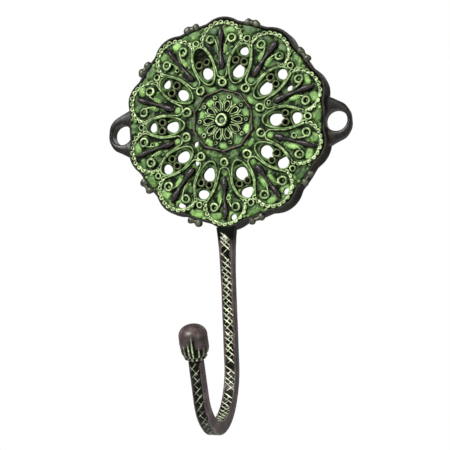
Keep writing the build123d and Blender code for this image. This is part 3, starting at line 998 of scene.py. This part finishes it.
def bead_row(index):
    """Scallops round a lobe's tip, open towards its middle, each about a dark pit."""
    geo = Geo()
    local = random.Random(200 + index)
    strip = [bead_place(t) for t in np.linspace(-BEAD_SPREAD / 2, BEAD_SPREAD / 2, 60)]
    tube(geo, warp(sector(strip, lobe_angle(index))), 0.5, 0.3, seed=index)
    for n in range(BEAD_COUNT):
        turn_deg = -BEAD_SPREAD / 2 + BEAD_SPREAD / (BEAD_COUNT - 1) * n + local.uniform(-1.2, 1.2)
        u, v = bead_place(turn_deg)
        size = 0.82 * local.uniform(0.90, 1.06)
        opening = local.uniform(48, 70)
        path = arc(u, v, size, turn_deg - 180 + opening, turn_deg + 180 - opening, 15)
        run = np.linspace(-1, 1, 15)
        wide = 0.29 * (1.15 - 0.45 * np.abs(run) ** 2)
        high = 1.12 * local.uniform(0.85, 1.0) * (1.0 - 0.35 * np.abs(run) ** 2)
        tube(geo, warp(sector(path, lobe_angle(index))), wide, high, seed=500 + 20 * index + n)
    return geo


# The cavity column paints shade along the spindle's foot.
SPINDLE_SECTION = mirrored((
    (-1.1, -0.12, 0.0, 1.0), (-1.0, 0.10, 0.0, 0.7), (-0.92, 0.50, 0.1, 0.2), (-0.70, 0.82, 0.4, 0.0),
    (-0.38, 0.96, 0.7, 0.0), (0.0, 1.0, 0.8, 0.0),
))


def spindle(index):
    """Dark bar on the lobe's axis: a pointed club outside, a blunt one inside, a stem between."""
    # distance from the centre, half-width, height
    stations = (
        (SPINDLE_IN, 0.15, 0.30), (21.0, 0.78, 1.05), (22.0, 1.15, 1.40), (23.2, 1.22, 1.50),
        (24.4, 1.02, 1.35), (25.6, 0.62, 1.10), (27.0, 0.50, 1.00), (29.5, 0.50, 1.00), (31.0, 0.70, 1.15),
        (32.4, 1.02, 1.50), (33.8, 1.15, 1.60), (35.2, 0.85, 1.40), (36.2, 0.45, 1.00),
        (SPINDLE_OUT, 0.08, 0.30),
    )
    at, widths, heights = zip(*stations)
    v = np.linspace(SPINDLE_IN, SPINDLE_OUT, 80)
    local = random.Random(600 + index)
    bend = local.uniform(0.05, 0.25) * np.sin((v - SPINDLE_IN) / 5.0 + local.uniform(0, 6))
    path = warp(sector(np.stack([bend, v], 1), lobe_angle(index)))
    width = np.interp(v, at, widths) * (1 + local.uniform(-0.12, 0.10))
    height = np.interp(v, at, heights)
    return tube(Geo(), path, width, height, section=SPINDLE_SECTION, wobble=0.05, seed=60 + index)


def lobe_rings():
    """Two rings in each lobe with thin tails along the stem, and a few stray rings."""
    geo = stud_group(LOBE_RINGS, RING, 28, 100, 0.07, 0.16, 0.0, 0.55)
    stem = ((2.45, 31.9), (1.75, 30.2), (1.25, 28.4), (1.3, 26.6))
    for index in range(SECTORS):
        for side in (-1, 1):
            tail = curve_through([(side * u, v) for u, v in stem])
            width = np.linspace(0.30, 0.14, len(tail))
            tube(geo, warp(sector(tail, lobe_angle(index))), width, width * 3.0, seed=700 + 2 * index + side)
    # lobe, place across and along its axis, size
    stray = (
        (9, -2.0, 27.7, 0.52), (3, -1.9, 28.0, 0.62), (5, -1.7, 28.6, 0.52), (2, -0.3, 19.1, 0.5),
        (7, 2.0, 28.9, 0.45),
    )
    for index, u, v, size in stray:
        place = warp(sector([(u, v)], lobe_angle(index)))[0]
        lathe(geo, place, scaled(RING, size, 0.85), 20, 0.35, 1.0, 0.1, 90.0, 0.05, 760 + index)
    return geo


def frame_wire():
    corners = [sector([(0, FRAME_R)], lobe_angle(i))[0] for i in range(SECTORS)]
    path = warp(resample(corners, 0.35, closed=True)) + ROSETTE_SHIFT
    return tube(Geo(), path, 0.45, 0.8, closed=True, seed=70)


def rosette_petals():
    """Hollow petals with raised rims about the boss, and forked rays between them."""
    geo = Geo()
    local = random.Random(880)
    for n, outline in enumerate(PETALS):
        tube(geo, outline, 0.24, 0.85, closed=True, base=-0.2, seed=80 + n)
    for n in range(SECTORS):
        wide = local.uniform(0.9, 1.2)
        stem = curve_through([(0, 3.5), (0.05, 4.6), (0, 5.6), (-0.5 * wide, 7.0), (-1.1 * wide, 7.9)], 0.25)
        fork = curve_through([(0, 5.3), (0.45 * wide, 6.7), (1.1 * wide, 7.9)], 0.25)
        for k, path in enumerate((stem, fork)):
            width = np.linspace(0.34, 0.22, len(path))
            height = np.linspace(1.2, 0.7, len(path))
            place = warp(sector(path, lobe_angle(n))) + ROSETTE_SHIFT
            tube(geo, place, width, height, base=-0.1, seed=890 + 2 * n + k)
    return geo


def rim_grains():
    """A pair of large grains over the rim in each notch that has no ear, on a low bridge."""
    geo = Geo()
    local = random.Random(77)
    for index in [number for number in range(SECTORS) if number not in EAR_NOTCHES]:
        bridge = curve_through([(-2.6, 38.3), (-1.1, 38.8), (1.1, 38.8), (2.6, 38.3)])
        tube(geo, sector(bridge, teardrop_angle(index)), 0.8, 0.6, base=0.1, seed=780 + index)
        for side in (-1, 1):
            place = (side * 1.9 + local.uniform(-0.35, 0.35), 39.0 + local.uniform(-0.35, 0.15))
            centre = sector([place], teardrop_angle(index))[0]
            size = 1.6 * local.uniform(0.85, 1.0)
            grain = scaled(GRAIN, size, local.uniform(0.8, 1.0))
            lathe(geo, centre, grain, 20, 0.2, wobble=0.08, seed=400 + 2 * index + side)
    return geo


# ---------------------------------------------------------------- hook

def hook_line(gap=0.2):
    """Centreline of the rod from the root to the arm's top: points (back, up), tangents and run length."""
    start = (SHANK_TOP[0] + (SHANK_TOP[1] - BEND_START_UP) * math.tan(SHANK_TILT), BEND_START_UP)
    centre = (start[0] - BEND_R * math.cos(SHANK_TILT), start[1] - BEND_R * math.sin(SHANK_TILT))
    top = (start[0] - (ROOT_TOP - start[1]) * math.tan(SHANK_TILT), ROOT_TOP)
    turn_to = math.pi - ARM_TILT + SHANK_TILT
    a = SHANK_TILT - np.linspace(0, turn_to, 200)
    bend = np.stack([centre[0] + BEND_R * np.cos(a), centre[1] + BEND_R * np.sin(a)], 1)
    end = bend[-1]
    tip = end + ARM_LENGTH * np.array([-math.sin(ARM_TILT), math.cos(ARM_TILT)])
    line = resample(np.vstack([[top], bend, [tip]]), gap)
    tangent = np.gradient(line, axis=0)
    tangent /= np.linalg.norm(tangent, axis=1)[:, None]
    run = np.concatenate([[0], np.cumsum(np.linalg.norm(np.diff(line, axis=0), axis=1))])
    return line, tangent, run


def strokes(run_from, run_to, seed, pitch=2.15, skip=(), reach_mm=1.6, width=0.20):
    """Hand-cut crosshatch: each stroke as (run, across) at both ends, and its width."""
    local = random.Random(seed)
    cuts = []
    at = run_from
    while at < run_to:
        if not any(low < at < high for low, high in skip):
            # slant, weight, least and most reach, how far it may sit off the middle, shift along the rod
            for slant, weight, least, most, off, shift in (
                (1, 1.0, 0.90, 1.12, 0.15, 0.0), (-1, 0.75, 0.50, 0.90, 0.35, 1.2)
            ):
                reach = local.uniform(least, most)
                aside = local.uniform(-off, off)
                rise = 1.45 * local.uniform(0.85, 1.2) * reach
                middle = at + local.uniform(-0.25, 0.25) + shift
                across = reach_mm * reach * slant
                thick = width * weight * local.uniform(0.75, 1.2)
                cuts.append((middle - rise, aside - across, middle + rise, aside + across, thick))
            if local.random() < 0.35:
                across = local.uniform(-1.2, 1.2)
                cuts.append((at - 0.5, across - 0.4, at + 0.4, across + 0.4, 0.09))
        at += pitch * local.uniform(0.9, 1.1)
    return cuts


def cut_amount(run, across, cuts):
    """How much of a stroke lies at each point, 0 to 1."""
    total = np.zeros(len(run))
    for r0, u0, r1, u1, width in cuts:
        near = np.nonzero((run > min(r0, r1) - 1) & (run < max(r0, r1) + 1))[0]
        dr, du = r1 - r0, u1 - u0
        t = ((run[near] - r0) * dr + (across[near] - u0) * du) / (dr * dr + du * du)
        t = np.clip(t, 0, 1)
        d = np.hypot(run[near] - r0 - t * dr, across[near] - u0 - t * du)
        taper = 0.55 + 0.45 * np.sin(np.pi * np.clip(t, 0.02, 0.98))
        total[near] = np.maximum(total[near], 1 - smooth(width * taper * 0.6, width * taper * 1.45, d))
    return total


def rod_section():
    """Rounded-square section for a unit half-width, dense on both engraved faces: (across, inward)."""
    r = 1 - ROD_FLAT
    corner = [(ROD_FLAT + r * math.sin(a), ROD_FLAT + r * math.cos(a)) for a in np.radians(range(15, 90, 15))]
    sides = []
    for quarter, count in enumerate((33, 9, 33, 9)):
        flat = [(u, 1.0) for u in np.linspace(-ROD_FLAT, ROD_FLAT, count)]
        sides.append(sector(flat + corner, 90.0 * quarter))
    return np.vstack(sides)


def hook_arm():
    """Engraved rod: wide root, shank, bend and arm, with its tenon."""
    line, tangent, run = hook_line()
    inward = np.stack([tangent[:, 1], -tangent[:, 0]], 1)
    section = rod_section()
    n, k = len(line), len(section)
    total = run[-1]
    wide = np.interp(run, (0, 1.5, 4, 8, 14, 22, 92, total), (3.45, 3.3, 3.05, 2.8, 2.6, 2.46, 2.42, 2.2))
    deep_in = np.interp(run, (0, 1.5, 6, 12, 84, 104, total), (2.6, 2.62, 2.56, 2.46, 2.42, 2.1, 2.0))
    deep_out = np.interp(run, (0, 3, 9, 16, total), (4.0, 3.7, 2.9, 2.5, 2.44))
    at = np.repeat(run, k)
    across = np.outer(wide, section[:, 0]).ravel()
    toward = np.tile(section[:, 1], n)
    depth = toward * np.where(toward > 0, np.repeat(deep_in, k), np.repeat(deep_out, k))
    facing_in = toward > 0.9
    facing_out = toward < -0.9

    # the engraved band runs down the shank's front, under the bend and up the arm's front
    bottom = RUN_TO_BEND + BEND_R * math.pi / 2
    inner = strokes(3.2, bottom + 6.0, 501, skip=((7.6, 10.6), (49.5, 52.5), (62.0, 63.2)))
    outer = strokes(bottom - 1.0, total - 0.3, 502, pitch=2.7, reach_mm=1.3, width=0.13)
    cut = np.zeros(n * k)
    cut[facing_in] = cut_amount(at[facing_in], across[facing_in], inner)
    cut[facing_out] = 0.8 * cut_amount(at[facing_out], across[facing_out], outer)
    surface = np.column_stack([at, across])
    edge = 1 - smooth(1.40, 1.75, np.abs(across) + 0.22 * ripple(surface, 2.2, 97))
    band = facing_in * edge * smooth(3.0, 5.0, at) * (1 - smooth(bottom + 2, bottom + 9, at))
    band += facing_out * edge * smooth(bottom - 6, bottom + 1, at)
    worn = 0.05 * ripple(np.column_stack([surface, depth]), 5.0, 91)
    radial = depth + np.sign(depth) * (0.12 * cut * band - 0.16 * band + worn)
    place = np.repeat(line, k, axis=0) + np.repeat(inward, k, axis=0) * radial[:, None]

    root_patch = np.exp(-((at - 4.0) / 1.5) ** 2) * np.exp(-((across + 0.3) / 1.0) ** 2) * facing_in
    crest = np.maximum(cut, 0.8 * root_patch)
    cavity = band * (1 - cut) * (0.80 + 0.25 * ripple(surface, 6.0, 95))
    # painted shade on the rod's root, where it meets the medallion
    cavity = np.maximum(cavity, 0.95 * (1 - smooth(2.0, 9.0, at)) * (1 - root_patch) * (1 - cut))
    co = np.stack([across, place[:, 1], -place[:, 0]], 1).reshape(n, k, 3)
    return tenon(Geo().grid(co, np.clip(crest, 0, 1).reshape(n, k), np.clip(cavity, 0, 1).reshape(n, k)))


def tenon(geo):
    """Round peg from the root up into the hollow rim, domed at its end."""
    y = np.linspace(TENON_FROM, TENON_TO, 20)[:, None]
    a = np.linspace(0, 2 * math.pi, 20, endpoint=False)
    domed = np.maximum(0.0, (y - TENON_DOME_FROM) / TENON_DOME)
    r = TENON_R * np.sqrt(np.maximum(0.05, 1 - domed**2))
    co = np.dstack([r * np.cos(a), np.broadcast_to(y, (20, 20)), r * np.sin(a) - TENON_BACK])
    return geo.grid(co, 0.2, 0.3)


def arm_frame():
    """Top of the arm in the drawing, and its axes: sideways, along, and towards the front."""
    back, up = hook_line()[0][-1]
    side = np.array([1.0, 0.0, 0.0])
    along = np.array([0.0, math.cos(ARM_TILT), math.sin(ARM_TILT)])
    return np.array([0.0, up, -back]), side, along, np.cross(side, along)


def turned_on_arm(profile, segments, radius_of, marks_of):
    """Solid of revolution on the arm's axis, from a profile of (radius, height).

    radius_of reads (angle, height, radius), and marks_of gives crest and cavity at (angle, height).
    """
    origin, side, along, front = arm_frame()
    co, crest, cavity, rings = [], [], [], []
    for r, h in profile:
        steps = segments if r > 0 else 1
        rings.append(range(len(co), len(co) + steps))
        for s in range(steps):
            a = 2 * math.pi * s / segments
            rr = radius_of(a, h, r)
            c, d = marks_of(a, h)
            co.append(origin + side * rr * math.sin(a) + front * rr * math.cos(a) + along * h)
            crest.append(c)
            cavity.append(d)
    return Geo().add(co, skin(rings), crest, cavity)


def knob_flutes():
    """Ridges of the knob: the clear ones at the front, shallow ones around the rest."""
    local = random.Random(77)
    ridges = [(-50.0, 0.50), (-29.0, 0.46), (-7.0, 0.54), (9.0, 0.76), (35.0, 0.40), (58.0, 0.34)]
    for angle in range(80, 300, 22):
        ridges.append((angle + local.uniform(-3, 3), local.uniform(0.34, 0.56)))
    return [(math.radians(angle), top) for angle, top in ridges]


def knob():
    """Barrel with a smooth dome; its lower half is cut into pointed flutes."""
    base = COLLAR_LENGTH
    flutes = knob_flutes()
    half_step = math.radians(11.0)

    def flute(angle, height):
        h = (height - base) / KNOB_HEIGHT
        ridge, ground, weight = 0.0, 0.0, 1e-6
        for middle, top in flutes:
            off = abs((angle - middle + math.pi) % (2 * math.pi) - math.pi)
            if off > 3 * half_step:
                continue
            along = min(1.0, h / top)
            width = half_step * 0.48 * math.sin(math.pi * (0.22 + 0.78 * along)) ** 0.7 if along < 1 else 0.0
            if width > 0:
                ridge = max(ridge, 1 - smooth(0.45, 1.0, off / width))
            near = math.exp(-((off / half_step) ** 2))
            ground += near * (1 - smooth(top * 0.70, top * 0.98, h))
            weight += near
        return ridge, (ground / weight) * smooth(0.0, 0.05, h)

    def radius_of(angle, height, r):
        ridge, ground = flute(angle, height)
        return r * (1 - 0.06 * ground * (1 - ridge) + 0.008 * math.sin(2 * angle + height))

    def marks_of(angle, height):
        ridge, ground = flute(angle, height)
        facing = 0.15 + 0.85 * max(0.0, math.cos(angle - 0.2)) ** 3
        low = 1 - smooth(0.0, 0.05, (height - base) / KNOB_HEIGHT)
        # the cavity is painted shade in the grooves between the flutes
        return min(1.0, ridge * facing + 0.3 * low), ground * (1 - ridge) * (0.35 + 0.65 * facing)

    profile = [(0.0, base), (3.6, base + 0.02), (3.95, base + 0.25)]
    for h in np.linspace(0.6, KNOB_BARREL, 34):
        r = np.interp(h, (0.6, 1.4, 2.6, 4.4, KNOB_BARREL), (4.25, 4.60, 4.84, 4.90, KNOB_R))
        profile.append((r, base + h))
    for a in np.radians(np.linspace(0, 90, 18)[1:-1]):
        profile.append((KNOB_R * math.cos(a) ** 0.76, base + KNOB_BARREL + KNOB_DOME * math.sin(a)))
    profile.append((0.0, base + KNOB_BARREL + KNOB_DOME))
    return turned_on_arm(profile, 192, radius_of, marks_of)


def knob_collar():
    """Beaded calyx under the knob."""
    def bump(angle):
        return 0.5 + 0.5 * math.cos(14 * angle + 0.8 * math.sin(2 * angle))

    def radius_of(angle, height, r):
        amount = smooth(0.5, 1.1, height) * (1 - smooth(1.6, 2.0, height))
        return r * (1 + 0.07 * amount * bump(angle))

    def marks_of(angle, height):
        amount = smooth(0.5, 1.2, height)
        uneven = 0.55 + 0.45 * math.sin(3 * angle + 0.5)
        foot = 1 - smooth(0.2, 0.9, height)
        # the cavity is painted shade between the beads and at the collar's foot
        return amount * bump(angle) * uneven, 0.9 * (1 - bump(angle)) * amount + 0.9 * foot

    profile = (
        (0.0, -0.35), (2.2, -0.3), (2.5, -0.05), (2.62, 0.3), (2.9, 0.6), (3.3, 0.9), (3.6, 1.2), (3.7, 1.5),
        (3.66, 1.8), (3.55, 2.0), (3.3, 2.1), (0.0, 2.15),
    )
    return turned_on_arm(profile, 112, radius_of, marks_of)


# ---------------------------------------------------------------- assembly

def cast(node, geo, material):
    make_piece(f"{node}_cast", geo, material, [node])


def rubbed_less(geo, share):
    """Keeps only a share of the pale rubbed tone."""
    geo.crest = [share * value for value in geo.crest]
    return geo


def build_medallion():
    make_piece("face_plate_relief", face_plate(), PLATE, ["face_plate"], 60)
    cast("rim_skirt", rim_skirt(), SKIRT)
    cast("ear_left", ear(-1), EAR)
    cast("ear_right", ear(1), EAR)
    cast("lobe_rings", lobe_rings(), RELIEF)
    cast("root_rings", stud_group(ROOT_RINGS, RING, 28, 130, 0.08, 0.14, shade=0.4), RELIEF)
    # the cups get extra painted shade, low in the sunk floor
    cup = scaled(RING, 0.88, 1.9, 0.1)
    cast("teardrop_cups", stud_group(CUPS, cup, 24, 160, 0.08, 0.12, -1.05, 0.3), CUP)
    notch_ring = scaled(RING, 0.78, 0.85)
    cast("notch_rings", stud_group(NOTCH_RINGS, notch_ring, 20, 190, 0.1, 0.12, shade=0.5), RELIEF)
    pellet = scaled(BEAD, 0.9, 0.8)
    cast("rosette_pellets", stud_group(PELLETS, pellet, 16, 210, 0.15, 0.1, shade=0.5), BEADS)
    cast("rosette_petals", rosette_petals(), BEADS)
    cast("frame_wire", frame_wire(), FRAME)
    cast("centre_boss", lathe(Geo(), ROSETTE_SHIFT, BOSS, 40), BEADS)
    cast("centre_grain", lathe(Geo(), ROSETTE_SHIFT, scaled(GRAIN, 0.42, 0.5), 16, 2.1), BEADS)
    cast("rim_grains", rim_grains(), GRAINS)
    for i in range(SECTORS):
        tag = f"{i + 1:02d}"
        wire = tube(Geo(), LOBES[i], 0.34, 1.05, seed=10 + i)
        cast(f"lobe_wire_{tag}", rubbed_less(wire, LOBE_RUB), RELIEF)
        drop = tube(Geo(), TEARDROPS[i], 0.38, 1.1, closed=True, seed=30 + i)
        cast(f"teardrop_wire_{tag}", rubbed_less(drop, TEARDROP_RUB), RELIEF)
        cast(f"spindle_{tag}", spindle(i), SPINDLE)
        cast(f"bead_row_{tag}", bead_row(i), BEADS)


def build_hook():
    cast("hook_arm", hook_arm(), ROD)
    cast("knob_collar", knob_collar(), KNOB)
    cast("knob", knob(), KNOB)


def build_floor():
    """Pale round floor under the hook."""
    mesh = bpy.data.meshes.new("floor")
    bm = bmesh.new()
    bmesh.ops.create_circle(bm, cap_ends=True, radius=1.1, segments=96)
    bm.to_mesh(mesh)
    bm.free()
    floor = bpy.data.objects.new("floor", mesh)
    floor.location = (0, 0, CAD_BOX[0].z - 0.35)
    bpy.context.scene.collection.objects.link(floor)
    paint = bpy.data.materials.new("floor_paint")
    paint.use_nodes = True
    bsdf = paint.node_tree.nodes["Principled BSDF"]
    bsdf.inputs["Base Color"].default_value = (0.86, 0.86, 0.86, 1)
    bsdf.inputs["Roughness"].default_value = 0.8
    mesh.materials.append(paint)


def build_camera():
    """Long lens, to the right of the medallion and a little below its level, aimed at the whole hook."""
    azimuth, elevation, roll = [math.radians(v) for v in (16.31, -3.63, -1.17)]
    distance_mm, aim_x_mm, aim_below_mm = 337.5, -0.28, 38.78
    level = math.cos(elevation)
    back = Vector((math.sin(azimuth) * level, -math.cos(azimuth) * level, math.sin(elevation)))
    right = Vector((math.cos(azimuth), math.sin(azimuth), 0.0))
    up = back.cross(right)
    x_axis = right * math.cos(roll) + up * math.sin(roll)
    y_axis = up * math.cos(roll) - right * math.sin(roll)
    target = Vector((aim_x_mm * MM, FRONT_Y, CENTRE_Z - aim_below_mm * MM))
    data = bpy.data.cameras.new("camera")
    data.lens = 72.0
    data.sensor_width = 36.0
    data.clip_start = 0.01
    camera = bpy.data.objects.new("camera", data)
    turn = Matrix((x_axis, y_axis, back)).transposed().to_4x4()
    camera.matrix_world = Matrix.Translation(target + back * distance_mm * MM) @ turn
    bpy.context.scene.collection.objects.link(camera)
    bpy.context.scene.camera = camera


def area_light(name, place, size, watts, aim=(0, -0.01, -0.04)):
    data = bpy.data.lights.new(name, "AREA")
    data.shape = "DISK"
    data.size = size
    data.energy = watts
    light = bpy.data.objects.new(name, data)
    light.location = place
    light.rotation_mode = "QUATERNION"
    light.rotation_quaternion = (Vector(aim) - Vector(place)).to_track_quat("-Z", "Y")
    bpy.context.scene.collection.objects.link(light)


def build_light():
    world_data = bpy.data.worlds.new("studio")
    bpy.context.scene.world = world_data
    world_data.use_nodes = True
    nodes, links = world_data.node_tree.nodes, world_data.node_tree.links
    background = nodes["Background"]
    background.inputs["Color"].default_value = (1, 1, 1, 1)
    rays = nodes.new("ShaderNodeLightPath")
    strength = nodes.new("ShaderNodeMix")
    strength.inputs["A"].default_value = 0.34
    strength.inputs["B"].default_value = 1.0
    links.new(rays.outputs["Is Camera Ray"], strength.inputs["Factor"])
    links.new(strength.outputs["Result"], background.inputs["Strength"])
    area_light("key", (-0.40, -0.80, 0.55), 0.30, 26.0)
    area_light("fill", (0.75, -0.55, 0.05), 0.5, 5.0)
    area_light("back", (0.1, 0.8, 0.5), 0.5, 1.5)
    bpy.context.scene.view_settings.view_transform = "Standard"


build_medallion()
build_hook()
build_floor()
build_camera()
build_light()
